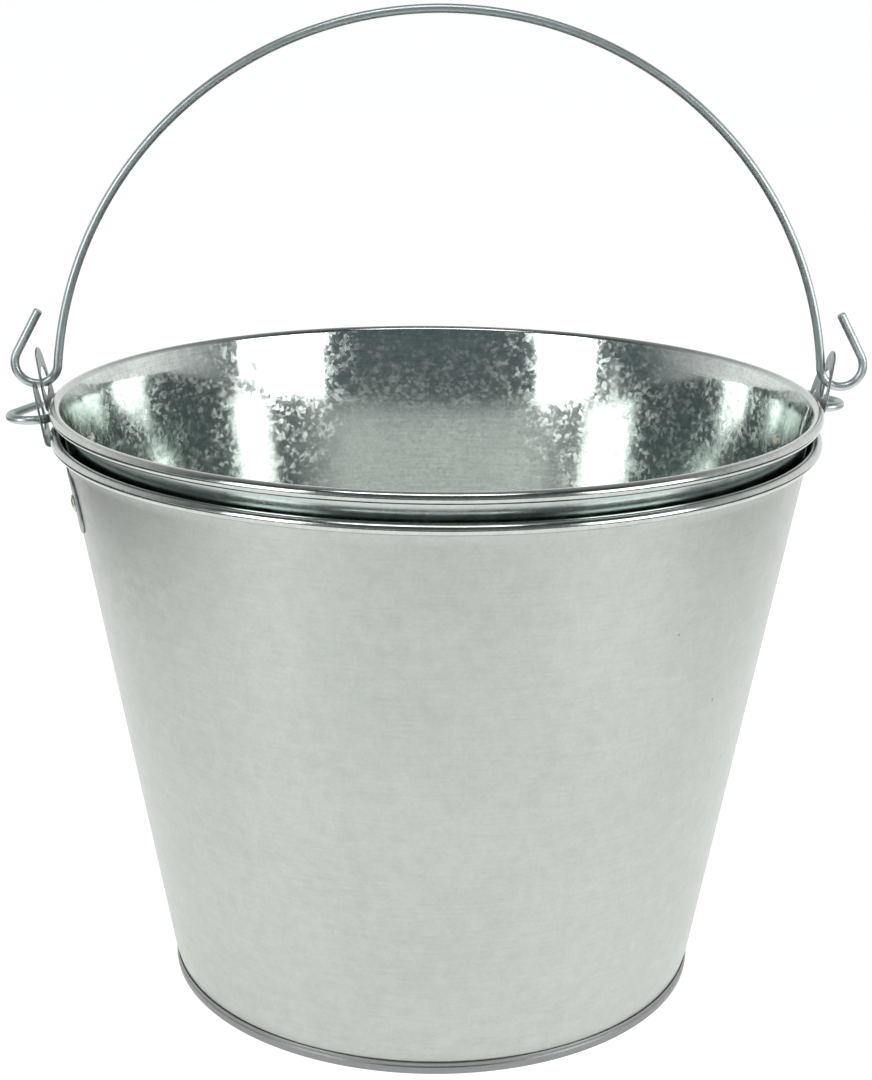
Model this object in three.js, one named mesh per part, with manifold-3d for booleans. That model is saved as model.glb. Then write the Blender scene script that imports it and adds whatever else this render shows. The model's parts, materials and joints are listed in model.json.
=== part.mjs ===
// Two nested galvanised feed buckets, each with riveted ears and a wire bail.
// Millimetres, +Z up. The origin is the centre of the lower bucket's foot ring.
import * as THREE from 'three';
import { mergeVertices } from 'three/addons/utils/BufferGeometryUtils.js';
import Module from 'manifold-3d';

const wasm = await Module();
wasm.setup();

// ---- Driving dimensions ---------------------------------------------------

const SIDES = 48; // flat facets round each bucket
const SHEET = 0.4; // wall and pan sheet
const BASE_RADIUS = 99.55; // wall outside, carried down to the floor
const WALL_SLOPE = 0.1728; // outward run for each millimetre of height
const NEST_RISE = 9.8; // how much higher the upper bucket stands

const BEAD_RADIUS = 2.0; // outside of the rolled rim
const BEAD_CENTRE = { r: 138, z: 209.5 };
const RIM_WIRE_RADIUS = 1.2;
const FLARE_START_Z = 204.5; // where the wall turns out to the rolled rim

const CHIME_RADIUS = 100.55; // foot ring outside
const CHIME_CHAMFER = 0.35;
const CHIME_HEIGHT = 4.6;
const CHIME_GAP = 0.4;
const PAN_RECESS = 4.0; // bottom sheet above the floor
const HEM_RADIUS = 99.9; // wall outside where the chime grips it
const HEM_TOP = 5.2;
const GROOVE_TOP = 8.5; // end of the groove above the chime

const SEAM_WIDTH = 5;
const SEAM_HEIGHT = 0.35;
const SEAM_BOTTOM_Z = 17; // clear of a nested bucket's foot ring
const SEAM_TOP_Z = 203;
const SEAM_TURN = -3.4; // degrees from the ears' line

const EAR_THICKNESS = 0.65;
const EAR_WALL_GAP = 0.08;
const EAR_FOOT = { halfWidth: 31, bottom: -31, top: -10.5, cornerRadius: 6 };
const EAR_NECK_HALF_WIDTH = 9.5;
const EAR_FILLET = 4; // between neck and foot
const EAR_TIP = { radius: 6, centre: 12.5 };
const EAR_TAPER_START = 1;
const EAR_HOLE = { z: 6.2, radius: 5.4 };
const EAR_FOLD = { z: -6, shelfR: 135.6, shelfZ: -3.1, plateR: 141.05, plateZ: -2.9 };
const EAR_PLATE_LEAN = 0.1856;

const RIVET_ANGLE = 9.2; // degrees each side of the ear's centre
const RIVET_DEPTH = 21; // below the rim bead
const RIVET_SIDES = 12;
const RIVET_SHANK_RADIUS = 1.5;
const RIVET_HEAD_RADIUS = 3.1;
const RIVET_GAP = 0.05;

const WIRE_RADIUS = 1.625;
const WIRE_SIDES = 8;
const BOW_RADIUS = 139.8;
const HOOK_RADIUS = 7.8;
const HOOK_CENTRE_U = 147.1;
const HOOK_TIP = { u: 145.5, v: 27 };
const STEPS = { bow: 54, hook: 11, tip: 2 };

const DEG = Math.PI / 180;

// What differs between the two buckets. earAngle is in degrees about +Z, and
// hingeHeight is how far the lowest points of the bail's hooks are above the rim bead.
const BUCKETS = [
  {
    name: 'lower', lift: 0, earAngle: 9.5, headHeight: 1.1, tailHeight: 0.3,
    bowTop: 138.4, hingeHeight: 4.2, bailAngle: 90.05, bailShift: 0,
  },
  {
    name: 'upper', lift: NEST_RISE, earAngle: 4.4, headHeight: 0.35, tailHeight: 1.1,
    bowTop: 133.3, hingeHeight: 5.2, bailAngle: 0, bailShift: 1.5,
  },
];

const FINISH = {
  wall: { color: 0xb8bdba, roughness: 0.42, metalness: 0.85 },
  pan: { color: 0xaeb4b2, roughness: 0.45, metalness: 0.85 },
  wire: { color: 0x9aa3a3, roughness: 0.35, metalness: 0.9 },
  ear: { color: 0x98a0a1, roughness: 0.4, metalness: 0.9 },
  rivet: { color: 0xa9a79f, roughness: 0.4, metalness: 0.9 },
};

// ---- Solids ---------------------------------------------------------------

// A three.js geometry as a manifold solid, with its faces turned outward.
function toSolid(geometry) {
  geometry.deleteAttribute('normal');
  geometry.deleteAttribute('uv');
  const merged = mergeVertices(geometry, 1e-4);
  const position = merged.getAttribute('position');
  const index = merged.getIndex().array;
  const kept = [];
  let volume = 0;
  const a = new THREE.Vector3();
  const b = new THREE.Vector3();
  const c = new THREE.Vector3();
  for (let i = 0; i < index.length; i += 3) {
    const [p, q, r] = [index[i], index[i + 1], index[i + 2]];
    if (p === q || q === r || r === p) continue;
    a.fromBufferAttribute(position, p);
    b.fromBufferAttribute(position, q);
    c.fromBufferAttribute(position, r);
    volume += a.dot(b.cross(c));
    kept.push([p, q, r]);
  }
  const triVerts = new Uint32Array(kept.flatMap(([p, q, r]) => (volume > 0 ? [p, q, r] : [p, r, q])));
  const vertProperties = new Float32Array(position.array);
  return new wasm.Manifold(new wasm.Mesh({ numProp: 3, vertProperties, triVerts }));
}

function toGeometry(solid) {
  const mesh = solid.getMesh();
  const geometry = new THREE.BufferGeometry();
  geometry.setAttribute('position', new THREE.BufferAttribute(mesh.vertProperties, 3));
  geometry.setIndex(new THREE.BufferAttribute(mesh.triVerts, 1));
  geometry.computeVertexNormals();
  return geometry;
}

// A profile of [radius, height] points turned about +Z.
function turned(profile, sides = SIDES) {
  const points = profile.map(([r, z]) => new THREE.Vector2(r, z));
  const geometry = new THREE.LatheGeometry(points, sides);
  geometry.rotateX(Math.PI / 2);
  return toSolid(geometry);
}

function ring(profile, sides = SIDES) {
  return turned([...profile, profile[0]], sides);
}

// A plate of the given outline, standing across +X: the outline's x runs along +Y
// and its y along +Z. It reaches from near to far along +X, then turns about +Z.
function slab(shape, near, far, angle, curveSegments = 10) {
  const geometry = new THREE.ExtrudeGeometry(shape, {
    depth: far - near, bevelEnabled: false, curveSegments,
  });
  const matrix = new THREE.Matrix4().makeBasis(
    new THREE.Vector3(0, 1, 0), new THREE.Vector3(0, 0, 1), new THREE.Vector3(1, 0, 0),
  );
  geometry.applyMatrix4(matrix);
  geometry.translate(near, 0, 0);
  geometry.rotateZ(angle * DEG);
  return toSolid(geometry);
}

function arcPoints(centreR, centreZ, radius, fromDeg, toDeg, steps) {
  const points = [];
  for (let i = 0; i <= steps; i += 1) {
    const angle = (fromDeg + ((toDeg - fromDeg) * i) / steps) * DEG;
    points.push([centreR + radius * Math.cos(angle), centreZ + radius * Math.sin(angle)]);
  }
  return points;
}

// A strip of even thickness along a line of [radius, height] points, grown outward.
function stripProfile(line, thickness) {
  const normalAfter = (i) => {
    const [dr, dz] = [line[i + 1][0] - line[i][0], line[i + 1][1] - line[i][1]];
    const length = Math.hypot(dr, dz);
    return [dz / length, -dr / length];
  };
  const last = line.length - 1;
  const outer = line.map(([r, z], i) => {
    const one = normalAfter(Math.max(i - 1, 0));
    const two = normalAfter(Math.min(i, last - 1));
    const mitre = thickness / (1 + one[0] * two[0] + one[1] * two[1]);
    return [r + (one[0] + two[0]) * mitre, z + (one[1] + two[1]) * mitre];
  });
  return [...line, ...outer.reverse()];
}

// ---- Bucket wall, rim wire and pan ------------------------------------------

const SHEET_RUN = SHEET * Math.hypot(1, WALL_SLOPE); // sheet measured level
const wallOutside = (z) => BASE_RADIUS + WALL_SLOPE * z;
const wallInside = (z) => wallOutside(z) - SHEET_RUN;

// Where the flared wall meets the rolled rim, in degrees round the bead.
const BEAD_JOIN = 164;
const BEAD_END = -150;
const BEAD_STEPS = 10;

function wallProfile() {
  const { r, z } = BEAD_CENTRE;
  const curlInside = BEAD_RADIUS - SHEET;
  const outerCurl = arcPoints(r, z, BEAD_RADIUS, BEAD_JOIN, BEAD_END, BEAD_STEPS);
  const innerCurl = arcPoints(r, z, curlInside, BEAD_END, BEAD_JOIN, BEAD_STEPS);
  const bottom = SHEET + CHIME_GAP;
  return [
    [HEM_RADIUS - SHEET, bottom],
    [HEM_RADIUS - SHEET, HEM_TOP],
    [wallInside(GROOVE_TOP), GROOVE_TOP],
    [wallInside(FLARE_START_Z), FLARE_START_Z],
    ...outerCurl,
    ...innerCurl,
    [wallOutside(FLARE_START_Z), FLARE_START_Z],
    [wallOutside(GROOVE_TOP), GROOVE_TOP],
    [HEM_RADIUS, HEM_TOP],
    [HEM_RADIUS, bottom],
  ];
}

function sideSeam(angle) {
  const overlap = SHEET / 2;
  const band = ring([
    [wallInside(SEAM_BOTTOM_Z) + overlap, SEAM_BOTTOM_Z],
    [wallInside(SEAM_TOP_Z) + overlap, SEAM_TOP_Z],
    [wallInside(SEAM_TOP_Z) - SEAM_HEIGHT, SEAM_TOP_Z],
    [wallInside(SEAM_BOTTOM_Z) - SEAM_HEIGHT, SEAM_BOTTOM_Z],
  ]);
  const half = SEAM_WIDTH / 2;
  const strip = new THREE.Shape([
    new THREE.Vector2(-half, 0),
    new THREE.Vector2(half, 0),
    new THREE.Vector2(half, BEAD_CENTRE.z),
    new THREE.Vector2(-half, BEAD_CENTRE.z),
  ]);
  return band.intersect(slab(strip, 1, BEAD_CENTRE.r, angle));
}

function rimWire() {
  const circle = arcPoints(BEAD_CENTRE.r, BEAD_CENTRE.z, RIM_WIRE_RADIUS, 0, 300, 5);
  return ring(circle);
}

function bottomPan() {
  const inner = HEM_RADIUS - SHEET - CHIME_GAP / 2;
  return turned([
    [0, PAN_RECESS],
    [inner - SHEET, PAN_RECESS],
    [inner - SHEET, 0],
    [CHIME_RADIUS - CHIME_CHAMFER, 0],
    [CHIME_RADIUS, CHIME_CHAMFER],
    [CHIME_RADIUS, CHIME_HEIGHT],
    [CHIME_RADIUS - SHEET, CHIME_HEIGHT],
    [CHIME_RADIUS - SHEET, SHEET],
    [inner, SHEET],
    [inner, PAN_RECESS + SHEET],
    [0, PAN_RECESS + SHEET],
  ]);
}

// ---- Ears and rivets ----------------------------------------------------------

function earOutline() {
  const { halfWidth, bottom, top, cornerRadius } = EAR_FOOT;
  const neck = EAR_NECK_HALF_WIDTH;
  const tangent = Math.asin((neck - EAR_TIP.radius) / (EAR_TIP.centre - EAR_TAPER_START));
  const shape = new THREE.Shape();
  shape.moveTo(-halfWidth + cornerRadius, bottom);
  shape.lineTo(halfWidth - cornerRadius, bottom);
  shape.absarc(halfWidth - cornerRadius, bottom + cornerRadius, cornerRadius, -Math.PI / 2, 0);
  shape.absarc(halfWidth - cornerRadius, top - cornerRadius, cornerRadius, 0, Math.PI / 2);
  shape.absarc(neck + EAR_FILLET, top + EAR_FILLET, EAR_FILLET, -Math.PI / 2, Math.PI, true);
  shape.lineTo(neck, EAR_TAPER_START);
  shape.absarc(0, EAR_TIP.centre, EAR_TIP.radius, tangent, Math.PI - tangent);
  shape.lineTo(-neck, EAR_TAPER_START);
  shape.absarc(-neck - EAR_FILLET, top + EAR_FILLET, EAR_FILLET, 0, -Math.PI / 2, true);
  shape.absarc(-halfWidth + cornerRadius, top - cornerRadius, cornerRadius, Math.PI / 2, Math.PI);
  shape.absarc(-halfWidth + cornerRadius, bottom + cornerRadius, cornerRadius, Math.PI, Math.PI * 1.5);
  return shape;
}

// The ear's inner face seen from the side: foot on the wall, jog over the rim, plate.
function earLine() {
  const footRadius = (z) => wallOutside(BEAD_CENTRE.z + z) + EAR_WALL_GAP * Math.hypot(1, WALL_SLOPE);
  const plateTop = EAR_TIP.centre + EAR_TIP.radius + 1;
  const below = EAR_FOOT.bottom - 1;
  const { z: foldZ, shelfR, shelfZ, plateR, plateZ } = EAR_FOLD;
  const line = [
    [footRadius(below), below],
    [footRadius(foldZ), foldZ],
    [shelfR, shelfZ],
    [plateR, plateZ],
    [plateR + EAR_PLATE_LEAN * (plateTop - plateZ), plateTop],
  ];
  return line.map(([r, z]) => [r, z + BEAD_CENTRE.z]);
}

const OUTLINE_NEAR = 120;
const OUTLINE_FAR = 160;

function ear(angle, rivetHoles) {
  const outline = new THREE.Shape(earOutline().getPoints(4));
  const hole = new THREE.Path();
  hole.absarc(0, EAR_HOLE.z, EAR_HOLE.radius, 0, Math.PI * 2, true);
  outline.holes.push(hole);
  const cutter = slab(outline, OUTLINE_NEAR, OUTLINE_FAR, 0).translate([0, 0, BEAD_CENTRE.z]);
  const turnedCutter = cutter.rotate([0, 0, angle]);
  let solid = ring(stripProfile(earLine(), EAR_THICKNESS)).intersect(turnedCutter);
  rivetHoles.forEach((bore) => {
    solid = solid.subtract(bore);
  });
  return solid;
}

// A rivet's axis stands square on the wall facet that it goes through. Its own +Z
// runs outward and starts on the wall's outside.
function rivetMatrix(angle) {
  const facet = 360 / SIDES;
  const facetAngle = (Math.floor(angle / facet) + 0.5) * facet * DEG;
  const flat = Math.cos(Math.PI / SIDES);
  const z = BEAD_CENTRE.z - RIVET_DEPTH;
  const reach = wallOutside(z) * flat;
  const along = reach * Math.tan(angle * DEG - facetAngle);
  const outward = new THREE.Vector3(Math.cos(facetAngle), Math.sin(facetAngle), -WALL_SLOPE * flat);
  const sideways = new THREE.Vector3(-Math.sin(facetAngle), Math.cos(facetAngle), 0);
  outward.normalize();
  const upward = new THREE.Vector3().crossVectors(outward, sideways);
  const matrix = new THREE.Matrix4().makeBasis(sideways, upward.negate(), outward);
  matrix.setPosition(
    reach * Math.cos(facetAngle) + along * sideways.x,
    reach * Math.sin(facetAngle) + along * sideways.y,
    z,
  );
  return matrix;
}

function turnedAlong(profile, matrix) {
  const geometry = new THREE.LatheGeometry(profile.map(([r, z]) => new THREE.Vector2(r, z)), RIVET_SIDES);
  geometry.rotateX(Math.PI / 2);
  geometry.applyMatrix4(matrix);
  return toSolid(geometry);
}

function rivetBore(matrix) {
  const radius = RIVET_SHANK_RADIUS + 2 * RIVET_GAP;
  const reach = EAR_THICKNESS * 3;
  return turnedAlong([[0, -reach], [radius, -reach], [radius, reach], [0, reach]], matrix);
}

function rivet(matrix, headHeight, tailHeight) {
  const tailFace = -SHEET - RIVET_GAP;
  const headFace = EAR_WALL_GAP + EAR_THICKNESS + RIVET_GAP;
  const tailRadius = RIVET_HEAD_RADIUS * 0.85;
  const crown = 0.6; // crown radius over head radius
  return turnedAlong([
    [0, tailFace - tailHeight],
    [tailRadius * crown, tailFace - tailHeight],
    [tailRadius, tailFace - tailHeight * 0.4],
    [tailRadius, tailFace],
    [RIVET_SHANK_RADIUS, tailFace],
    [RIVET_SHANK_RADIUS, headFace],
    [RIVET_HEAD_RADIUS, headFace],
    [RIVET_HEAD_RADIUS, headFace + headHeight * 0.4],
    [RIVET_HEAD_RADIUS * crown, headFace + headHeight],
    [0, headFace + headHeight],
  ], matrix);
}

// ---- Bail -----------------------------------------------------------------------

// The wire's centre line, in the bail's plane: u along the hinge line, v away from it.
// Each piece of the line has its own number of steps.
class BailLine extends THREE.Curve {
  constructor(pieces) {
    super();
    this.pieces = pieces;
    this.total = pieces.reduce((sum, piece) => sum + piece.steps, 0);
  }

  getPoint(t) {
    let step = t * this.total;
    let k = 0;
    while (k < this.pieces.length - 1 && step > this.pieces[k].steps) {
      step -= this.pieces[k].steps;
      k += 1;
    }
    const [u, v] = this.pieces[k].at(Math.min(step / this.pieces[k].steps, 1));
    return new THREE.Vector3(u, 0, v);
  }

  // Points are spaced by steps, not by length.
  getUtoTmapping(u) {
    return u;
  }
}

function bailLine(bowTop) {
  // The bow is half an ellipse that reaches the inner end of each hook.
  const inner = HOOK_CENTRE_U - HOOK_RADIUS;
  const bowCentre = bowTop - BOW_RADIUS;
  const end = Math.asin((HOOK_RADIUS - bowCentre) / BOW_RADIUS);
  const halfWidth = inner / Math.cos(end);
  const bow = (s) => {
    const angle = end + (Math.PI - 2 * end) * s;
    return [halfWidth * Math.cos(angle), bowCentre + BOW_RADIUS * Math.sin(angle)];
  };
  const lean = Math.atan2(HOOK_CENTRE_U + HOOK_RADIUS - HOOK_TIP.u, HOOK_TIP.v - HOOK_RADIUS);
  const turn = Math.PI + lean; // the hook turns past a half circle to the leaning tip
  const hookAt = (angle) => [
    HOOK_CENTRE_U + HOOK_RADIUS * Math.cos(angle), HOOK_RADIUS + HOOK_RADIUS * Math.sin(angle),
  ];
  const hook = (s) => hookAt(lean - turn * s);
  const [startU, startV] = hook(0);
  const tip = (s) => [HOOK_TIP.u + (startU - HOOK_TIP.u) * s, HOOK_TIP.v + (startV - HOOK_TIP.v) * s];
  const mirror = (at) => (s) => {
    const [u, v] = at(1 - s);
    return [-u, v];
  };
  return new BailLine([
    { at: tip, steps: STEPS.tip },
    { at: hook, steps: STEPS.hook },
    { at: bow, steps: STEPS.bow },
    { at: mirror(hook), steps: STEPS.hook },
    { at: mirror(tip), steps: STEPS.tip },
  ]);
}

function bail({ bowTop, hingeHeight, bailAngle, bailShift }) {
  const section = [];
  for (let i = 0; i < WIRE_SIDES; i += 1) {
    const angle = (i / WIRE_SIDES) * 2 * Math.PI;
    section.push(new THREE.Vector2(WIRE_RADIUS * Math.cos(angle), WIRE_RADIUS * Math.sin(angle)));
  }
  const line = bailLine(bowTop);
  const geometry = new THREE.ExtrudeGeometry(new THREE.Shape(section), {
    steps: line.total, extrudePath: line, bevelEnabled: false,
  });
  geometry.rotateX(-bailAngle * DEG);
  geometry.translate(bailShift, 0, BEAD_CENTRE.z + hingeHeight);
  return toSolid(geometry);
}

// ---- Assembly -------------------------------------------------------------------

const scene = new THREE.Group();

function addPiece(parent, name, solid, finish) {
  const mesh = new THREE.Mesh(toGeometry(solid), new THREE.MeshStandardMaterial(finish));
  mesh.name = name;
  parent.add(mesh);
}

function addBucket(bucket) {
  const { name, lift, earAngle, headHeight, tailHeight } = bucket;
  const group = new THREE.Group();
  group.position.z = lift;
  group.rotation.z = earAngle * DEG;
  scene.add(group);
  const add = (piece, solid, finish) => addPiece(group, `${name}_${piece}`, solid, finish);

  const sides = [{ side: 'right', angle: 0 }, { side: 'left', angle: 180 }];
  let wall = ring(wallProfile()).add(sideSeam(SEAM_TURN));
  sides.forEach(({ side, angle }) => {
    const places = [rivetMatrix(angle - RIVET_ANGLE), rivetMatrix(angle + RIVET_ANGLE)];
    const bores = places.map(rivetBore);
    bores.forEach((bore) => {
      wall = wall.subtract(bore);
    });
    add(`ear_${side}`, ear(angle, bores), FINISH.ear);
    places.forEach((place, i) => {
      add(`rivet_${side}_${i + 1}`, rivet(place, headHeight, tailHeight), FINISH.rivet);
    });
  });
  add('wall', wall, FINISH.wall);
  add('rim_wire', rimWire(), FINISH.wire);
  add('bottom_pan', bottomPan(), FINISH.pan);
  add('bail', bail(bucket), FINISH.wire);
}

BUCKETS.forEach(addBucket);

export default scene;
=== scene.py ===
"""Two nested galvanised feed buckets: fine sheet, ears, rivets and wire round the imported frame."""
import json
import math

import bmesh
import bpy
from mathutils import Matrix, Vector


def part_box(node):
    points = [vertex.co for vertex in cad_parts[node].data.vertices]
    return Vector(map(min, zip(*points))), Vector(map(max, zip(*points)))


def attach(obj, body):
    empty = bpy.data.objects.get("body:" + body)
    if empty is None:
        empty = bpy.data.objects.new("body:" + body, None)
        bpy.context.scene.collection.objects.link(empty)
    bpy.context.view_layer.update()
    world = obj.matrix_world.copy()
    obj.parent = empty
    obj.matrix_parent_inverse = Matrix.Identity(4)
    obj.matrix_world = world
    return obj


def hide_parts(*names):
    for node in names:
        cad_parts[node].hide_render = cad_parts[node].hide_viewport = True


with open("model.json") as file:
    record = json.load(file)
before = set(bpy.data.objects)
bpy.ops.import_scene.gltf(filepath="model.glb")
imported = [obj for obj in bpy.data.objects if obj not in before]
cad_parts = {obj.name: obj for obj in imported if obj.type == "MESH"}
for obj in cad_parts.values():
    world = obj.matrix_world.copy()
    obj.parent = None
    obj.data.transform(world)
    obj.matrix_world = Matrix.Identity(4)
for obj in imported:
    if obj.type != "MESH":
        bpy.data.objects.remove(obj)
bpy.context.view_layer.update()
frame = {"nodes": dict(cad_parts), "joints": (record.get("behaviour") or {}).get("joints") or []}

MM = 0.001

# ---- Sizes, in metres, as in the CAD model --------------------------------------

SHEET = 0.4 * MM
BASE_RADIUS = 99.55 * MM
WALL_SLOPE = 0.1728
BEAD_RADIUS = 2.0 * MM
BEAD_R = 138 * MM
BEAD_Z = 209.5 * MM
BEAD_JOIN = 164  # degrees round the bead, where the flare meets it
BEAD_END = -150
FLARE_Z = 204.5 * MM
# The chime is the foot ring. Its line is its outside from the top down, as (inset, depth).
CHIME_RADIUS = 100.55 * MM
CHIME_HEIGHT = 4.6 * MM
CHIME_LINE = [(0.2 * MM, 0), (0, 0.5 * MM), (0.35 * MM, 1.5 * MM), (0, 1.9 * MM)]
CHIME_DRAFT = 0.1 * MM
CHIME_ROUNDING = 0.55 * MM
PAN_RECESS = 4.0 * MM
HEM_RADIUS = 99.9 * MM
HEM_BOTTOM = 0.8 * MM
HEM_TOP = 5.2 * MM
GROOVE_TOP = 8.5 * MM
WALL_ROUNDING = 2.2 * MM
WALL_STEP = 12 * MM
PAN_ROUNDING = 0.3 * MM
PAN_RING = {"half_width": 6 * MM, "height": 0.9 * MM, "share_of_radius": 0.72}
SEAM_WIDTH = 5 * MM
SEAM_HEIGHT = 0.35 * MM
SEAM_BOTTOM_Z = 17 * MM
SEAM_TOP_GAP = 0.5 * MM  # below the bead's centre
SEAM_EDGE = 0.15 * MM
SEAM_ROUNDING = 0.2 * MM
SEAM_SUNK = 0.05 * MM  # into the wall
SEAM_TURN = math.radians(-3.4)
FOLD_LINE_HALF = 0.5 * MM
FOLD_LINE_HEIGHT = 0.2 * MM
FOLD_LINE_GAP = 0.3 * MM
FOLD_LINE_SUNK = 0.1 * MM

EAR_THICKNESS = 0.65 * MM
EAR_WALL_GAP = 0.08 * MM
RIVET_ANGLE = math.radians(9.2)
RIVET_DEPTH = 21 * MM
RIVET_SHANK = 1.5 * MM
RIVET_HEAD = 3.1 * MM
RIVET_TAIL = 0.85 * RIVET_HEAD
# The shares of the head's and the tail's height that stand straight up below their domes.
RIVET_HEAD_EDGE = 0.25
RIVET_TAIL_EDGE = 0.3
RIVET_SEAT = 0.02 * MM
RIVET_SEGMENTS = 40

WIRE_RADIUS = 1.625 * MM
BOW_RADIUS = 139.8 * MM
HOOK_RADIUS = 7.8 * MM
HOOK_CENTRE_U = 147.1 * MM
HOOK_TIP = (145.5 * MM, 27 * MM)
WIRE_SEGMENTS = 20
WIRE_END_ROUNDING = 0.35 * MM
BAIL_STEPS = {"tip": 8, "hook": 32, "half_bow": 100}

ROUND = 288  # segments round a bucket

joints = {joint["name"]: joint for joint in frame["joints"]}


def hinge_angle(joint):
    """The turn of a hinge's line about +Z, from +X."""
    x, y, _ = joints[joint]["axis"]
    return math.atan2(y, x)


# What differs between the two buckets. head and tail are the heights of the rivets' ends, and
# bail_rise is how far the lowest points of the bail's hooks are above the rim bead's centre.
BUCKETS = [
    {
        "name": "lower", "hinge": "lower_bail_swing", "head": 1.1 * MM, "tail": 0.3 * MM,
        "bow_top": 138.4 * MM, "bail_angle": math.radians(90.05),
        "bail_shift": 0.0, "bail_rise": 4.2 * MM,
    },
    {
        "name": "upper", "hinge": "upper_bail_swing", "head": 0.35 * MM, "tail": 1.1 * MM,
        "bow_top": 133.3 * MM, "bail_angle": 0.0,
        "bail_shift": 1.5 * MM, "bail_rise": 5.2 * MM,
    },
]


# ---- Camera -----------------------------------------------------------------------

CAMERA_AT = Vector((0.0363, -0.7049, 0.3749))
# Turns in radians: to the right, down and anticlockwise.
CAMERA_YAW = -0.0511
CAMERA_PITCH = 0.2887
CAMERA_ROLL = 0.0096
# In millimetres. The sensor's size is that of the picture's longer side, its height.
LENS = 65.458333
SENSOR = 36


def make_camera():
    """The camera, in front of the buckets and looking a little down at them."""
    camera = bpy.data.objects.new("camera", bpy.data.cameras.new("camera"))
    bpy.context.scene.collection.objects.link(camera)
    camera.data.sensor_width = SENSOR
    camera.data.lens = LENS
    forward = Vector((
        math.sin(CAMERA_YAW) * math.cos(CAMERA_PITCH),
        math.cos(CAMERA_YAW) * math.cos(CAMERA_PITCH),
        -math.sin(CAMERA_PITCH),
    ))
    level = forward.cross(Vector((0, 0, 1))).normalized()
    upright = level.cross(forward)
    right = math.cos(CAMERA_ROLL) * level + math.sin(CAMERA_ROLL) * upright
    up = -math.sin(CAMERA_ROLL) * level + math.cos(CAMERA_ROLL) * upright
    rotation = Matrix((right, up, -forward)).transposed().to_4x4()
    camera.matrix_world = Matrix.Translation(CAMERA_AT) @ rotation
    camera.data.clip_start = 0.01
    camera.data.clip_end = 200
    bpy.context.scene.camera = camera


make_camera()


# ---- Node helpers -------------------------------------------------------------------

class Nodes:
    """A material's or world's node tree, with short calls to add and join nodes."""

    def __init__(self, tree):
        self.tree = tree
        tree.nodes.clear()

    def add(self, kind, **settings):
        node = self.tree.nodes.new(kind)
        for name, value in settings.items():
            setattr(node, name, value)
        return node

    def link(self, source, target):
        self.tree.links.new(source, target)

    def noise(self, vector, scale, detail=3.0, roughness=0.55):
        node = self.add("ShaderNodeTexNoise")
        node.inputs["Scale"].default_value = scale
        node.inputs["Detail"].default_value = detail
        node.inputs["Roughness"].default_value = roughness
        self.link(vector, node.inputs["Vector"])
        return node.outputs["Fac"]

    def cells(self, vector, scale, output="Color"):
        node = self.add("ShaderNodeTexVoronoi")
        node.inputs["Scale"].default_value = scale
        self.link(vector, node.inputs["Vector"])
        return node.outputs[output]

    def ramp(self, factor, *stops):
        node = self.add("ShaderNodeValToRGB")
        elements = node.color_ramp.elements
        while len(elements) < len(stops):
            elements.new(0.5)
        for element, (position, value) in zip(elements, stops):
            element.position = position
            element.color = (*value, 1) if isinstance(value, tuple) else (value, value, value, 1)
        self.link(factor, node.inputs["Fac"])
        return node.outputs["Color"]

    def spread(self, factor, low, high, from_low=0.0, from_high=1.0):
        node = self.add("ShaderNodeMapRange")
        node.inputs["From Min"].default_value = from_low
        node.inputs["From Max"].default_value = from_high
        node.inputs["To Min"].default_value = low
        node.inputs["To Max"].default_value = high
        self.link(factor, node.inputs["Value"])
        return node.outputs["Result"]

    def math(self, operation, first, second):
        node = self.add("ShaderNodeMath", operation=operation)
        for socket, value in zip(node.inputs, (first, second)):
            if isinstance(value, (int, float)):
                socket.default_value = value
            else:
                self.link(value, socket)
        return node.outputs["Value"]

    def warped(self, vector, scale, reach):
        """The coordinates pushed about by a noise, by up to reach."""
        node = self.add("ShaderNodeTexNoise")
        node.inputs["Scale"].default_value = scale
        self.link(vector, node.inputs["Vector"])
        push = self.add("ShaderNodeVectorMath", operation="MULTIPLY_ADD")
        self.link(node.outputs["Color"], push.inputs[0])
        push.inputs[1].default_value = (reach, reach, reach)
        self.link(vector, push.inputs[2])
        return push.outputs["Vector"]

    def stretched(self, vector, scale):
        node = self.add("ShaderNodeVectorMath", operation="MULTIPLY")
        self.link(vector, node.inputs[0])
        node.inputs[1].default_value = scale
        return node.outputs["Vector"]

    def mix(self, factor, first, second, blend_type="MIX"):
        node = self.add("ShaderNodeMix", data_type="RGBA", blend_type=blend_type)
        colour_inputs = [socket for socket in node.inputs if socket.type == "RGBA"]
        sockets = [node.inputs[0], *colour_inputs]
        for socket, value in zip(sockets, (factor, first, second)):
            if isinstance(value, (int, float)):
                socket.default_value = value
            elif isinstance(value, tuple):
                socket.default_value = (*value, 1)
            else:
                self.link(value, socket)
        return [socket for socket in node.outputs if socket.type == "RGBA"][0]

    def bump(self, height, strength, distance, normal=None):
        node = self.add("ShaderNodeBump")
        node.inputs["Strength"].default_value = strength
        node.inputs["Distance"].default_value = distance
        self.link(height, node.inputs["Height"])
        if normal is not None:
            self.link(normal, node.inputs["Normal"])
        return node.outputs["Normal"]


# Scales of the patterns in the zinc, in waves or cells for each metre.
CRYSTALS = 260
FROST = 600
FINE_BLOOM = 900
MEDIUM_BLOOM = 190
BROAD_BLOOM = 16
ROLLING_LINES = (60, 60, 1500)
SPECKS = 150
SPECK_PATCHES = 75
WAVES = 30

NOISE_RANGE = (0.3, 0.7)  # the part of 0 to 1 that most of a noise lies in
CRYSTAL_WARP = {"scale": 90, "reach": 4 * MM}
SPECK_COLOUR = (0.06, 0.055, 0.05)
BROAD_TONE = 0.12
WAVE_STRENGTH = 0.35
GRAIN = {"strength": 0.12, "distance": 0.03 * MM}


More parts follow.
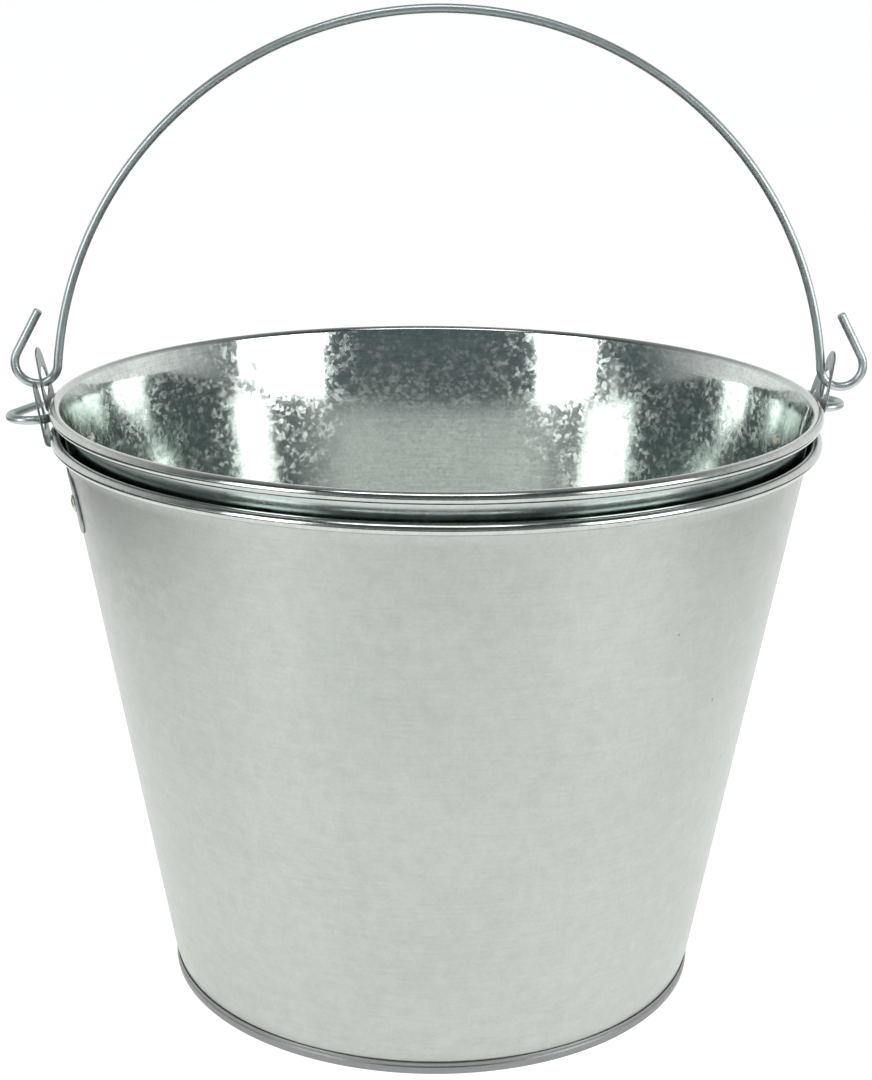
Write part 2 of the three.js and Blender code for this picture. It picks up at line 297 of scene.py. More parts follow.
def zinc_tone(n, coords, flecks, fine, medium, crystal, bloom, streak):
    """How light the zinc is from place to place, about 0."""
    broad = n.noise(coords, BROAD_BLOOM, 2.0, 0.5)
    tone = n.math("MULTIPLY", n.spread(flecks, -1, 1), crystal)
    tone = n.math("ADD", tone, n.spread(fine, -bloom, bloom, *NOISE_RANGE))
    tone = n.math("ADD", tone, n.spread(medium, -bloom, bloom, *NOISE_RANGE))
    tone = n.math("ADD", tone, n.spread(broad, -BROAD_TONE, BROAD_TONE, *NOISE_RANGE))
    if streak:
        rolled = n.noise(n.stretched(coords, ROLLING_LINES), 1, 3.0, 0.6)
        tone = n.math("ADD", tone, n.spread(rolled, -streak, streak, *NOISE_RANGE))
    return tone


def with_specks(n, base, coords, specks):
    """The base colour with a few small dark specks."""
    dots = n.ramp(n.cells(coords, SPECKS, "Distance"), (0.05, 1.0), (0.1, 0.0))
    rare = n.ramp(n.noise(coords, SPECK_PATCHES, 1.0), (0.68, 0.0), (0.7, 1.0))
    return n.mix(n.math("MULTIPLY", n.math("MULTIPLY", dots, rare), specks), base, SPECK_COLOUR)


def galvanised(name, dark, light, roughness, crystal, bloom, ripple=0.0,
               streak=0.0, specks=0.0, brushed=0.0, frost=0.0):
    """Zinc-coated steel: faint crystals, a fine blotchy bloom, rolling lines and a few specks.

    dark and light bound the base colour and roughness is (low, high). crystal, bloom, streak and
    specks are how strongly each pattern shows, and ripple is the height of the sheet's slow waves.
    brushed is how far the rolling lines draw reflections out up and down. frost makes the crystals
    small and is how much duller some of them are.
    """
    material = bpy.data.materials.new(name)
    material.use_nodes = True
    n = Nodes(material.node_tree)
    output = n.add("ShaderNodeOutputMaterial")
    shader = n.add("ShaderNodeBsdfPrincipled")
    n.link(shader.outputs["BSDF"], output.inputs["Surface"])
    shader.inputs["Metallic"].default_value = 1.0
    coords = n.add("ShaderNodeTexCoord").outputs["Object"]

    flecks = n.cells(n.warped(coords, **CRYSTAL_WARP), FROST if frost else CRYSTALS)
    fine = n.noise(coords, FINE_BLOOM, 4.0, 0.6)
    medium = n.noise(coords, MEDIUM_BLOOM, 3.0, 0.6)
    tone = zinc_tone(n, coords, flecks, fine, medium, crystal, bloom, streak)
    base = n.mix(n.math("ADD", 0.5, tone), dark, light)
    if specks:
        base = with_specks(n, base, coords, specks)
    n.link(base, shader.inputs["Base Color"])

    uneven = n.math("ADD", n.math("MULTIPLY", medium, 0.5), n.math("MULTIPLY", flecks, 0.5))
    matt = n.spread(uneven, *roughness, 0.25, 0.75)
    if frost:
        matt = n.math("ADD", matt, n.spread(n.math("MULTIPLY", flecks, medium), 0, frost, 0.22, 0.45))
    n.link(matt, shader.inputs["Roughness"])
    if brushed:
        shader.inputs["Anisotropic"].default_value = brushed
        shader.inputs["Anisotropic Rotation"].default_value = 0.25
        around = n.add("ShaderNodeTangent", direction_type="RADIAL", axis="Z")
        n.link(around.outputs["Tangent"], shader.inputs["Tangent"])
    if ripple:
        wave = n.bump(n.noise(coords, WAVES, 1.0), WAVE_STRENGTH, ripple)
        n.link(n.bump(fine, **GRAIN, normal=wave), shader.inputs["Normal"])
    return material


MATERIALS = {
    "lower_outer": galvanised(
        "galvanised_outer", dark=(0.435, 0.46, 0.43), light=(0.535, 0.56, 0.525),
        roughness=(0.30, 0.36), crystal=0.04, bloom=0.22, ripple=0.04 * MM,
        streak=0.18, specks=0.6, brushed=0.6,
    ),
    "upper_outer": galvanised(
        "galvanised_sheltered", dark=(0.44, 0.50, 0.49), light=(0.56, 0.61, 0.59),
        roughness=(0.14, 0.2), crystal=0.04, bloom=0.22, ripple=0.03 * MM, streak=0.18,
    ),
    "inner": galvanised(
        "galvanised_inner", dark=(0.52, 0.58, 0.56), light=(0.83, 0.86, 0.82),
        roughness=(0.07, 0.12), crystal=0.16, bloom=0.25, ripple=0.12 * MM,
        streak=0.2, specks=0.3, frost=0.12,
    ),
    "foot": galvanised(
        "foot_ring", dark=(0.23, 0.24, 0.235), light=(0.30, 0.31, 0.305),
        roughness=(0.36, 0.42), crystal=0.02, bloom=0.15, ripple=0.01 * MM,
    ),
    "rim": galvanised(
        "rolled_rim", dark=(0.45, 0.48, 0.45), light=(0.65, 0.68, 0.65),
        roughness=(0.13, 0.18), crystal=0.04, bloom=0.2, ripple=0.01 * MM, specks=0.5,
    ),
    "ear": galvanised(
        "stamped_ear", dark=(0.24, 0.27, 0.265), light=(0.38, 0.415, 0.41),
        roughness=(0.28, 0.38), crystal=0.06, bloom=0.25, ripple=0.03 * MM, specks=0.5,
    ),
    "wire": galvanised(
        "drawn_wire", dark=(0.46, 0.52, 0.52), light=(0.56, 0.62, 0.62),
        roughness=(0.34, 0.42), crystal=0.02, bloom=0.1,
    ),
    "rivet": galvanised(
        "rivet_metal", dark=(0.42, 0.42, 0.34), light=(0.72, 0.71, 0.62),
        roughness=(0.28, 0.4), crystal=0.08, bloom=0.3, ripple=0.02 * MM, specks=0.4,
    ),
    # Near-black, painted shade: stands for the shade inside the open edge of the seam's fold.
    "seam": galvanised(
        "fold_painted_shade", dark=(0.05, 0.06, 0.06), light=(0.10, 0.11, 0.11),
        roughness=(0.4, 0.5), crystal=0.04, bloom=0.2,
    ),
}


# ---- Mesh helpers ---------------------------------------------------------------------

SHARP_ANGLE = math.radians(42)


def object_of(name, mesh):
    """An object in the scene with this mesh, smooth-shaded but for its sharp creases."""
    mesh.shade_smooth()
    mesh.set_sharp_from_angle(angle=SHARP_ANGLE)
    mesh.update()
    piece = bpy.data.objects.new(name, mesh)
    bpy.context.scene.collection.objects.link(piece)
    return piece


def mesh_object(name, vertices, faces, materials, face_materials=None):
    """An object made from points and faces; face_materials gives each face's material number."""
    mesh = bpy.data.meshes.new(name)
    mesh.from_pydata([tuple(v) for v in vertices], [], faces)
    for material in materials:
        mesh.materials.append(material)
    if face_materials:
        mesh.polygons.foreach_set("material_index", face_materials)
    return object_of(name, mesh)


def on_circle(centre, radius, degrees):
    angle = math.radians(degrees)
    return centre[0] + radius * math.cos(angle), centre[1] + radius * math.sin(angle)


def arc(centre, radius, start, end, steps):
    """Points along an arc; start and end are in degrees."""
    return [on_circle(centre, radius, start + (end - start) * i / steps) for i in range(steps + 1)]


def rounded(points, radius, steps=4):
    """A line of points with each inner corner rounded off by an arc-like curve."""
    result = [points[0]]
    for before, here, after in zip(points, points[1:], points[2:]):
        here = Vector(here)
        before = Vector(before) - here
        after = Vector(after) - here
        reach = min(radius, before.length * 0.45, after.length * 0.45)
        start = here + before.normalized() * reach
        end = here + after.normalized() * reach
        for k in range(steps + 1):
            t = k / steps
            result.append(tuple(start * (1 - t) ** 2 + here * 2 * t * (1 - t) + end * t ** 2))
    return [*result, points[-1]]


def ring_mesh(name, profile, materials, index_of, lift):
    """A closed profile of (radius, height) points turned about +Z.

    index_of gives the material number of the faces that start at each point of the profile.
    """
    count = len(profile)
    vertices = []
    for j in range(ROUND):
        angle = 2 * math.pi * j / ROUND
        cos, sin = math.cos(angle), math.sin(angle)
        vertices += [(r * cos, r * sin, z + lift) for r, z in profile]
    faces, face_materials = [], []
    for j in range(ROUND):
        here, there = j * count, ((j + 1) % ROUND) * count
        for i in range(count):
            k = (i + 1) % count
            faces.append((here + i, there + i, there + k, here + k))
            face_materials.append(index_of(i))
    return mesh_object(name, vertices, faces, materials, face_materials)


def disc_mesh(name, profile, materials, matrix, segments=ROUND, outer_from=None):
    """A profile that starts and ends on the axis, turned about +Z and placed by a matrix.

    Faces wholly beyond the radius outer_from have the second material.
    """
    middle = profile[1:-1]
    count = len(middle)
    vertices = []
    for j in range(segments):
        angle = 2 * math.pi * j / segments
        cos, sin = math.cos(angle), math.sin(angle)
        vertices += [Vector((r * cos, r * sin, z)) for r, z in middle]
    first, last = len(vertices), len(vertices) + 1
    vertices += [Vector((0, 0, profile[0][1])), Vector((0, 0, profile[-1][1]))]
    faces = []
    for j in range(segments):
        here, there = j * count, ((j + 1) % segments) * count
        faces.append((here, first, there))
        faces.append((here + count - 1, there + count - 1, last))
        for i in range(count - 1):
            faces.append((here + i, there + i, there + i + 1, here + i + 1))
    outside = None
    if outer_from is not None:
        outside = [int(min(vertices[v].xy.length for v in face) > outer_from) for face in faces]
    return mesh_object(name, [matrix @ v for v in vertices], faces, materials, outside)


def place(piece, body, slot, *nodes):
    """Fixes a piece to a body and hides the CAD nodes that it replaces. slot is not used."""
    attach(piece, body)
    if nodes:
        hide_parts(*nodes)


# ---- Bucket sheet ------------------------------------------------------------------------

SHEET_RUN = SHEET * math.hypot(1, WALL_SLOPE)


def wall_outside(z):
    """The radius of the straight wall's outer face at a height."""
    return BASE_RADIUS + WALL_SLOPE * z


def wall_inside(z):
    """The radius of the straight wall's inner face at a height."""
    return wall_outside(z) - SHEET_RUN


def inner_face(z):
    """The radius of the wall's inner face, up the straight wall and then up the flare."""
    flare = max(0, z - FLARE_Z) / (BEAD_Z - FLARE_Z)
    return wall_inside(min(z, FLARE_Z)) + flare * (BEAD_R - BEAD_RADIUS - wall_inside(FLARE_Z))


def stations(line, step):
    """The same line with extra points, so that no stretch is longer than step."""
    result = [line[0]]
    for start, end in zip(line, line[1:]):
        parts = max(1, math.ceil((Vector(end) - Vector(start)).length / step))
        result += [tuple(Vector(start).lerp(Vector(end), k / parts)) for k in range(1, parts + 1)]
    return result


def make_wall(name, body, lift):
    """The wall and its rolled rim, turned from one closed profile of the sheet."""
    bead = (BEAD_R, BEAD_Z)
    bead_inside = BEAD_RADIUS - SHEET
    inner_line = rounded([
        (HEM_RADIUS - SHEET, HEM_BOTTOM),
        (HEM_RADIUS - SHEET, HEM_TOP),
        (wall_inside(GROOVE_TOP), GROOVE_TOP),
        (wall_inside(FLARE_Z), FLARE_Z),
        on_circle(bead, BEAD_RADIUS, BEAD_JOIN),
    ], WALL_ROUNDING, 5)
    outer_line = rounded([
        on_circle(bead, bead_inside, BEAD_JOIN),
        (wall_outside(FLARE_Z), FLARE_Z),
        (wall_outside(GROOVE_TOP), GROOVE_TOP),
        (HEM_RADIUS, HEM_TOP),
        (HEM_RADIUS, HEM_BOTTOM),
    ], WALL_ROUNDING, 5)
    curl_out = arc(bead, BEAD_RADIUS, BEAD_JOIN, BEAD_END, 44)[1:]
    curl_in = arc(bead, bead_inside, BEAD_END, BEAD_JOIN, 30)[:-1]
    inner_line = stations(inner_line, WALL_STEP)
    outer_line = stations(outer_line, WALL_STEP)
    profile = inner_line + curl_out + curl_in + outer_line
    rim_from = len(inner_line) - 1
    rim_to = len(inner_line) + len(curl_out) + len(curl_in)

    def index_of(i):
        if i < rim_from:
            return 1
        return 2 if i < rim_to else 0

    materials = [MATERIALS[f"{name}_outer"], MATERIALS["inner"], MATERIALS["rim"]]
    piece = ring_mesh(f"{name}_wall_sheet", profile, materials, index_of, lift)
    place(piece, body, "galvanised_sheet", f"{name}_wall")


def pan_face(inner, z):
    """The bottom sheet from its middle out to its edge, with a raised ring in it."""
    ring_at, half = PAN_RING["share_of_radius"] * inner, PAN_RING["half_width"]
    return [(0, z), (ring_at - half, z), (ring_at, z + PAN_RING["height"]), (ring_at + half, z)]


def make_pan(name, body, lift):
    """The recessed bottom, with its edge folded under and up round the hem as the foot ring."""
    inner = HEM_RADIUS - 1.5 * SHEET
    upper_side = [
        *pan_face(inner, PAN_RECESS + SHEET),
        (inner, PAN_RECESS + SHEET),
        (inner, SHEET),
        (CHIME_RADIUS - SHEET, SHEET),
        (CHIME_RADIUS - SHEET, CHIME_HEIGHT - CHIME_DRAFT),
    ]
    under_side = [
        *[(CHIME_RADIUS - inset, CHIME_HEIGHT - depth) for inset, depth in CHIME_LINE],
        (CHIME_RADIUS - CHIME_DRAFT, 0),
        (inner - SHEET, 0),
        (inner - SHEET, PAN_RECESS),
        *reversed(pan_face(inner, PAN_RECESS)),
    ]
    profile = rounded(upper_side, PAN_ROUNDING) + rounded(under_side, CHIME_ROUNDING, 5)
    materials = [MATERIALS["inner"], MATERIALS["foot"]]
    matrix = Matrix.Translation((0, 0, lift))
    outer_from = inner + SHEET / 2
    piece = disc_mesh(f"{name}_pan_sheet", profile, materials, matrix, outer_from=outer_from)
    place(piece, body, "galvanised_sheet", f"{name}_bottom_pan")


def wall_strip(name, across, angle, rows, lift, material):
    """A strip up the wall's inside; across is its section, as (distance round, height off the wall)."""
    top = BEAD_Z - SEAM_TOP_GAP
    vertices = []
    for k in range(rows + 1):
        z = SEAM_BOTTOM_Z + (top - SEAM_BOTTOM_Z) * k / rows
        for s, height in across:
            turn = angle + s / inner_face(z)
            r = inner_face(z) - height
            vertices.append((r * math.cos(turn), r * math.sin(turn), z + lift))
    count = len(across)
    faces = []
    for k in range(rows):
        here, there = k * count, (k + 1) * count
        for i in range(count):
            j = (i + 1) % count
            faces.append((here + i, here + j, there + j, there + i))
    faces.append(tuple(range(count - 1, -1, -1)))
    faces.append(tuple(range(rows * count, (rows + 1) * count)))
    return mesh_object(name, vertices, faces, [material])


def make_seam(name, body, lift, angle):
    """The lock seam inside the wall: a low flat ridge, and beside it a thin near-black strip that is
    painted shade for the open edge of its fold.
    """
    half, top = SEAM_WIDTH / 2, SEAM_WIDTH / 2 - SEAM_EDGE
    ridge = rounded([
        (-half, -SEAM_SUNK), (-top, SEAM_HEIGHT),
        (top, SEAM_HEIGHT), (half, -SEAM_SUNK),
    ], SEAM_ROUNDING, 3)
    seam = wall_strip(f"{name}_side_seam", ridge, angle, 40, lift, MATERIALS["inner"])
    place(seam, body, "galvanised_sheet")
    # Next, a thin near-black strip beside the ridge: painted shade where the fold's edge lies open.
    half, top = FOLD_LINE_HALF, FOLD_LINE_HALF / 2
    section = [
        (-half, -FOLD_LINE_SUNK), (-top, FOLD_LINE_HEIGHT),
        (top, FOLD_LINE_HEIGHT), (half, -FOLD_LINE_SUNK),
    ]
    beside = angle - (SEAM_WIDTH / 2 + FOLD_LINE_GAP) / BEAD_R
    line = wall_strip(f"{name}_painted_shade_fold", section, beside, 24, lift, MATERIALS["seam"])
    place(line, body, "galvanised_sheet")


# ---- Ears and rivets -----------------------------------------------------------------------

EAR_FOOT_HALF = 31 * MM
EAR_FOOT_BOTTOM = -31 * MM
EAR_FOOT_TOP = -10.5 * MM
EAR_CORNER = 6 * MM
EAR_FILLET = 4 * MM
EAR_NECK = 9.5 * MM
EAR_TAPER = 1 * MM
EAR_TIP_RADIUS = 6 * MM
EAR_TIP_Z = 12.5 * MM
EAR_HOLE = (6.2 * MM, 5.4 * MM)  # its height and radius
HOLE_SEGMENTS = 48
EAR_FOLD_Z = -6 * MM
EAR_SHELF = (135.6 * MM, -3.1 * MM)
EAR_PLATE = (141.05 * MM, -2.9 * MM)
EAR_LEAN = 0.1856  # of the plate, outward for each metre up
EAR_EDGE = 0.12 * MM
EAR_BEND = 1.1 * MM
EAR_MARGIN = 1 * MM  # of the line past the plate's ends
EAR_STEP_UP = 0.7 * MM
EAR_STEP_ROUND = 2.5 * MM
WELD = 1e-7


def ear_path():
    """The ear's inner face from the side, as (radius, height above the bead's centre)."""
    gap = EAR_WALL_GAP * math.hypot(1, WALL_SLOPE)
    below, above = EAR_FOOT_BOTTOM - EAR_MARGIN, EAR_TIP_Z + EAR_TIP_RADIUS + EAR_MARGIN
    points = [
        (wall_outside(BEAD_Z + below) + gap, below),
        (wall_outside(BEAD_Z + EAR_FOLD_Z) + gap, EAR_FOLD_Z),
        EAR_SHELF,
        EAR_PLATE,
        (EAR_PLATE[0] + EAR_LEAN * (above - EAR_PLATE[1]), above),
    ]
    return rounded(points, EAR_BEND, 6)


class Path:
    """A line of points measured by its own length."""

    def __init__(self, points):
        self.points = [Vector(p) for p in points]
        self.lengths = [0.0]
        for a, b in zip(self.points, self.points[1:]):
            self.lengths.append(self.lengths[-1] + (b - a).length)

    def at_height(self, z):
        """The length at which the line passes a height."""
        for i, (a, b) in enumerate(zip(self.points, self.points[1:])):
            if a.y <= z <= b.y and b.y > a.y:
                share = (z - a.y) / (b.y - a.y)
                return self.lengths[i] + share * (self.lengths[i + 1] - self.lengths[i])
        return self.lengths[-1] if z > self.points[-1].y else 0.0

    def frame(self, length):
        """The point at that length and the outward direction there."""
        i = 0
        while i < len(self.points) - 2 and self.lengths[i + 1] < length:
            i += 1
        a, b = self.points[i], self.points[i + 1]
        share = (length - self.lengths[i]) / (self.lengths[i + 1] - self.lengths[i])
        along = (b - a).normalized()
        return a.lerp(b, share), Vector((along.y, -along.x))


def ear_outline():
    """The flat outline, as (distance across, height above the bead's centre)."""
    tangent = math.degrees(math.asin((EAR_NECK - EAR_TIP_RADIUS) / (EAR_TIP_Z - EAR_TAPER)))
    half, corner = EAR_FOOT_HALF, EAR_CORNER
    right = [
        *arc((half - corner, EAR_FOOT_BOTTOM + corner), corner, -90, 0, 10),
        *arc((half - corner, EAR_FOOT_TOP - corner), corner, 0, 90, 10),
        *arc((EAR_NECK + EAR_FILLET, EAR_FOOT_TOP + EAR_FILLET), EAR_FILLET, -90, -180, 8),
        (EAR_NECK, EAR_TAPER),
        *arc((0, EAR_TIP_Z), EAR_TIP_RADIUS, tangent, 90, 14),
    ]
    left = [(-s, z) for s, z in reversed(right)][1:]
    return right + left


def flat_plate(name, outline, hole):
    """The mesh of a flat plate with softened edges and a hole."""
    curve = bpy.data.curves.new(name, "CURVE")
    curve.dimensions = "2D"
    curve.fill_mode = "BOTH"
    curve.extrude = EAR_THICKNESS / 2 - EAR_EDGE
    curve.bevel_depth = EAR_EDGE
    curve.bevel_resolution = 2
    curve.offset = -EAR_EDGE
    for points in (outline, hole):
        spline = curve.splines.new("POLY")
        spline.points.add(len(points) - 1)
        for point, (x, y) in zip(spline.points, points):
            point.co = (x, y, 0, 1)
        spline.use_cyclic_u = True
    scratch = bpy.data.objects.new(name + "_scratch", curve)
    bpy.context.scene.collection.objects.link(scratch)
    graph = bpy.context.evaluated_depsgraph_get()
    mesh = bpy.data.meshes.new_from_object(scratch.evaluated_get(graph))
    bpy.data.objects.remove(scratch)
    bpy.data.curves.remove(curve)
    return mesh


def cut_across(bm, low, high, step, axis):
    """Adds edges across the plate, square to an axis, so that it can bend smoothly."""
    count = int((high - low) / step)
    for k in range(1, count):
        point = axis * (low + (high - low) * k / count)
        geometry = bm.verts[:] + bm.edges[:] + bm.faces[:]
        bmesh.ops.bisect_plane(bm, geom=geometry, plane_co=point, plane_no=axis, dist=WELD)


def bend_plate(bm, path, lift, angle):
    """Lays the flat plate along the ear's line and bends it round the bucket."""
    cos, sin = math.cos(angle), math.sin(angle)
    for vertex in bm.verts:
        s, t, w = vertex.co
        point, outward = path.frame(t)
        r, z = point + outward * (w + EAR_THICKNESS / 2)
        x = math.sqrt(r * r - s * s)
        vertex.co = (x * cos - s * sin, x * sin + s * cos, z + BEAD_Z + lift)
    bmesh.ops.recalc_face_normals(bm, faces=bm.faces[:])


def make_ear(name, side, body, lift, angle):
    """One ear: its outline is cut flat, with its hole, and then bent to shape."""
    path = Path(ear_path())
    outline = [(s, path.at_height(z)) for s, z in ear_outline()]
    hole_z, hole_radius = EAR_HOLE
    circle = arc((0, hole_z), hole_radius, 360, 360 / HOLE_SEGMENTS, HOLE_SEGMENTS - 1)
    hole = [(s, path.at_height(z)) for s, z in circle]
    mesh = flat_plate(f"{name}_ear_{side}", outline, hole)
    bm = bmesh.new()
    bm.from_mesh(mesh)
    bmesh.ops.remove_doubles(bm, verts=bm.verts[:], dist=WELD)
    lengths = [t for _, t in outline]
    cut_across(bm, min(lengths), max(lengths), EAR_STEP_UP, Vector((0, 1, 0)))
    cut_across(bm, -EAR_FOOT_HALF, EAR_FOOT_HALF, EAR_STEP_ROUND, Vector((1, 0, 0)))
    bend_plate(bm, path, lift, angle)
    bm.to_mesh(mesh)
    bm.free()
    mesh.materials.clear()
    mesh.materials.append(MATERIALS["ear"])
    piece = object_of(f"{name}_ear_{side}_plate", mesh)
    place(piece, body, "ear_steel", f"{name}_ear_{side}")


def rivet_profile(head, tail):
    """Tail, shank and head, as (radius, height above the wall's outside); both ends are domed."""
    tail_face = -SHEET - RIVET_SEAT
    head_face = EAR_WALL_GAP + EAR_THICKNESS + RIVET_SEAT
    head_edge, tail_edge = head * RIVET_HEAD_EDGE, tail * RIVET_TAIL_EDGE
    quarter = [math.radians(90 * k / 8) for k in range(9)]
    dome = [
        (RIVET_HEAD * math.cos(a), head_face + head_edge + (head - head_edge) * math.sin(a))
        for a in quarter
    ]
    upset = [
        (RIVET_TAIL * math.sin(a), tail_face - tail_edge - (tail - tail_edge) * math.cos(a))
        for a in quarter
    ]
    return [
        (0, upset[0][1]), *upset[1:], (RIVET_TAIL, tail_face), (RIVET_SHANK, tail_face),
        (RIVET_SHANK, head_face), (RIVET_HEAD, head_face), *dome[:-1], (0, dome[-1][1]),
    ]


def make_rivets(name, side, body, lift, angle, head, tail):
    """Two rivets through an ear's foot, square to the wall."""
    z = BEAD_Z - RIVET_DEPTH
    for number, turn in ((1, angle - RIVET_ANGLE), (2, angle + RIVET_ANGLE)):
        outward = Vector((math.cos(turn), math.sin(turn), -WALL_SLOPE)).normalized()
        sideways = Vector((-math.sin(turn), math.cos(turn), 0))
        upward = outward.cross(sideways)
        matrix = Matrix((sideways, -upward, outward)).transposed().to_4x4()
        r = wall_outside(z)
        matrix.translation = Vector((r * math.cos(turn), r * math.sin(turn), z + lift))
        node = f"{name}_rivet_{side}_{number}"
        profile = rivet_profile(head, tail)
        piece = disc_mesh(f"{node}_head", profile, [MATERIALS["rivet"]], matrix, RIVET_SEGMENTS)
        place(piece, body, "rivet_steel", node)


# ---- Bails ----------------------------------------------------------------------------------

def bail_line(bow_top):
    """The wire's centre line from the right tip to the left one, as (u, v) in the bail's plane."""
    bow_centre = bow_top - BOW_RADIUS
    end = math.asin((HOOK_RADIUS - bow_centre) / BOW_RADIUS)
    half_width = (HOOK_CENTRE_U - HOOK_RADIUS) / math.cos(end)
    tip_u, tip_v = HOOK_TIP
    lean = math.degrees(math.atan2(HOOK_CENTRE_U + HOOK_RADIUS - tip_u, tip_v - HOOK_RADIUS))
    hook = arc((HOOK_CENTRE_U, HOOK_RADIUS), HOOK_RADIUS, lean, -180, BAIL_STEPS["hook"])
    start, steps = Vector(hook[0]), BAIL_STEPS["tip"]
    tip = [tuple(Vector(HOOK_TIP).lerp(start, k / steps)) for k in range(steps)]
    half_bow = []
    steps = BAIL_STEPS["half_bow"]
    for k in range(1, steps + 1):
        angle = end + (math.pi / 2 - end) * k / steps
        half_bow.append((half_width * math.cos(angle), bow_centre + BOW_RADIUS * math.sin(angle)))
    right = tip + hook + half_bow
    return right + [(-u, v) for u, v in reversed(right)][1:]


def wire_rings(line):
    """The wire's sections along its line, as (centre, direction, radius), with its cut ends eased."""
    count = len(line)
    rings = []
    for i, point in enumerate(line):
        along = (line[min(i + 1, count - 1)] - line[max(i - 1, 0)]).normalized()
        rings.append((point, along, WIRE_RADIUS))
    (first, first_way, _), (last, last_way, _) = rings[0], rings[-1]
    rings[0] = (first + first_way * WIRE_END_ROUNDING, first_way, WIRE_RADIUS)
    rings[-1] = (last - last_way * WIRE_END_ROUNDING, last_way, WIRE_RADIUS)
    end_radius = WIRE_RADIUS - WIRE_END_ROUNDING
    return [(first, first_way, end_radius), *rings, (last, last_way, end_radius)]


def wire_mesh(name, line, matrix):
    """A round wire along a line in the XZ plane, placed by a matrix."""
    rings = wire_rings(line)
    sides = WIRE_SEGMENTS
    vertices = []
    for point, along, radius in rings:
        across = Vector((-along.y, along.x))
        for k in range(sides):
            angle = 2 * math.pi * k / sides
            flat = point + across * radius * math.cos(angle)
            vertices.append(matrix @ Vector((flat.x, radius * math.sin(angle), flat.y)))
    faces = [tuple(range(sides)), tuple(range(len(vertices) - 1, len(vertices) - 1 - sides, -1))]
    for i in range(len(rings) - 1):
        for k in range(sides):
            j = (k + 1) % sides
            faces.append((i * sides + k, (i + 1) * sides + k, (i + 1) * sides + j, i * sides + j))
    return mesh_object(name, vertices, faces, [MATERIALS["wire"]])


def make_bail(name, bucket, lift):
    """The bail, turned by its angle at rest about the lowest points of its hooks."""
    matrix = Matrix.Translation(Vector((0, 0, BEAD_Z + lift + bucket["bail_rise"])))
    matrix @= Matrix.Rotation(hinge_angle(bucket["hinge"]), 4, "Z")
    matrix @= Matrix.Translation(Vector((bucket["bail_shift"], 0, 0)))
    matrix @= Matrix.Rotation(-bucket["bail_angle"], 4, "X")
    line = [Vector(p) for p in bail_line(bucket["bow_top"])]
    piece = wire_mesh(f"{name}_bail_wire", line, matrix)
    place(piece, f"{name}_bail", "steel_wire", f"{name}_bail")


def make_bucket(bucket):
    """One whole bucket, standing as high as its CAD bottom pan does."""
    name = bucket["name"]
    body = f"{name}_bucket"
    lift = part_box(f"{name}_bottom_pan")[0].z
    angle = hinge_angle(bucket["hinge"])
    make_wall(name, body, lift)
    make_pan(name, body, lift)
    make_seam(name, body, lift, angle + SEAM_TURN)
    for side, turn in (("right", angle), ("left", angle + math.pi)):
        make_ear(name, side, body, lift, turn)
        make_rivets(name, side, body, lift, turn, bucket["head"], bucket["tail"])
    make_bail(name, bucket, lift)
    wire = frame["nodes"][f"{name}_rim_wire"]
    wire.data.materials.clear()
    wire.data.materials.append(MATERIALS["wire"])


for each in BUCKETS:
    make_bucket(each)


# ---- Floor and light ---------------------------------------------------------------------------

def plain_material(name, colour, glow):
    """A matt colour that also glows white."""
    material = bpy.data.materials.new(name)
    material.use_nodes = True
    shader = material.node_tree.nodes["Principled BSDF"]
    shader.inputs["Base Color"].default_value = (*colour, 1)
    shader.inputs["Roughness"].default_value = 1.0
    shader.inputs["Specular IOR Level"].default_value = 0.0
    shader.inputs["Emission Color"].default_value = (1, 1, 1, 1)
    shader.inputs["Emission Strength"].default_value = glow
    return material


def flat_sheet(name, low, high, z, material):
    (x0, y0), (x1, y1) = low, high
    corners = [(x0, y0, z), (x1, y0, z), (x1, y1, z), (x0, y1, z)]
    sheet = mesh_object(name, corners, [(0, 1, 2, 3)], [material])
    return sheet


FLOOR_REACH = 60
FLAG_HEIGHT = 0.5 * MM
# Two opposite corners of each dark flag.
FLAGS = {
    "flag_front": ((-3, -4), (3, -0.62)),
    "flag_left": ((-4, -0.62), (-0.5, 0.7)),
    "flag_right": ((0.57, -0.62), (4, 0.7)),
}


def make_floor():
    """A lit white floor, with dark flags on it that only reflections see: the room off a table's edges."""
    white = plain_material("floor_white", (0.5, 0.5, 0.5), 0.85)
    flat_sheet("floor", (-FLOOR_REACH, -FLOOR_REACH), (FLOOR_REACH, FLOOR_REACH), 0.0, white)
    dark = plain_material("flag_grey", (0.03, 0.03, 0.03), 0.08)
    for name, (low, high) in FLAGS.items():
        flag = flat_sheet(name, low, high, FLAG_HEIGHT, dark)
        flag.visible_camera = False
        flag.visible_diffuse = False
        flag.visible_shadow = False


LIT_POINT = Vector((0, 0, 0.2))


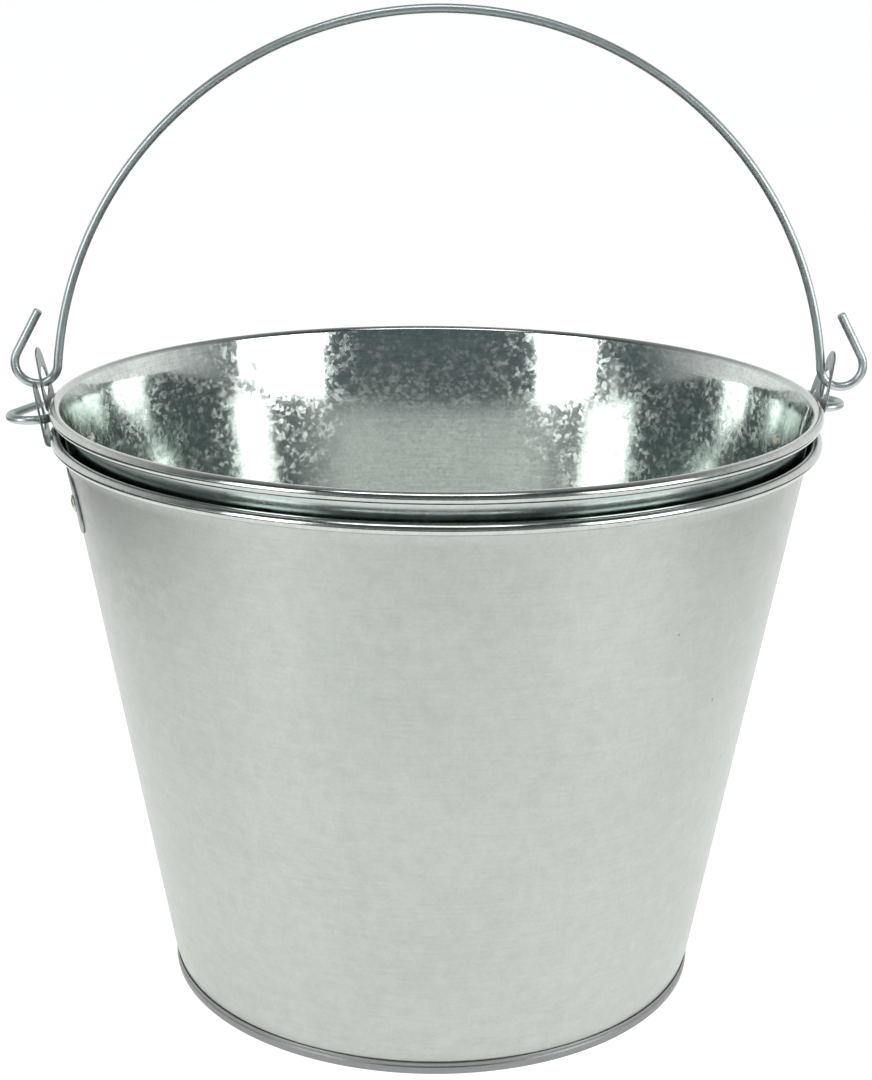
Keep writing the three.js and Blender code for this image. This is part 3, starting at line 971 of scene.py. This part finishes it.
def softbox(name, azimuth, elevation, distance, size, radiance):
    """An area light facing the buckets' mouth; azimuth is from the front, positive to the right."""
    a, e = math.radians(azimuth), math.radians(elevation)
    away = Vector((math.sin(a) * math.cos(e), -math.cos(a) * math.cos(e), math.sin(e)))
    light = bpy.data.lights.new(name, "AREA")
    light.shape = "RECTANGLE"
    light.size, light.size_y = size
    light.energy = radiance * math.pi * size[0] * size[1]
    lamp = bpy.data.objects.new(name, light)
    lamp.location = LIT_POINT + away * distance
    lamp.rotation_mode = "QUATERNION"
    lamp.rotation_quaternion = (-away).to_track_quat("-Z", "Y")
    lamp.visible_camera = False
    bpy.context.scene.collection.objects.link(lamp)


def make_world():
    """A dark room in front and overhead and a lit backdrop behind; the camera sees plain white."""
    world = bpy.data.worlds.new("studio")
    bpy.context.scene.world = world
    world.use_nodes = True
    n = Nodes(world.node_tree)
    output = n.add("ShaderNodeOutputWorld")
    direction = n.add("ShaderNodeTexCoord").outputs["Generated"]
    split = n.add("ShaderNodeSeparateXYZ")
    n.link(direction, split.inputs["Vector"])
    backness = n.spread(split.outputs["Y"], 0, 1, -0.3, 0.4)
    behind = n.ramp(backness, (0.0, (0.12, 0.15, 0.155)), (1.0, 0.95))
    low = n.ramp(split.outputs["Z"], (0.35, 1.0), (0.75, 0.35))
    room = n.add("ShaderNodeBackground")
    n.link(n.mix(1.0, behind, low, "MULTIPLY"), room.inputs["Color"])
    white = n.add("ShaderNodeBackground")
    white.inputs["Color"].default_value = (1, 1, 1, 1)
    choose = n.add("ShaderNodeMixShader")
    n.link(n.add("ShaderNodeLightPath").outputs["Is Camera Ray"], choose.inputs["Fac"])
    n.link(room.outputs["Background"], choose.inputs[1])
    n.link(white.outputs["Background"], choose.inputs[2])
    n.link(choose.outputs["Shader"], output.inputs["Surface"])


make_floor()
make_world()
softbox("left_box", azimuth=-44, elevation=14, distance=1.5, size=(0.55, 0.9), radiance=4.5)
softbox("right_box", azimuth=60, elevation=12, distance=1.5, size=(0.85, 0.8), radiance=4.0)
softbox("top_box", azimuth=0, elevation=66, distance=1.4, size=(0.9, 0.35), radiance=5.0)
bpy.context.scene.view_settings.view_transform = "Standard"
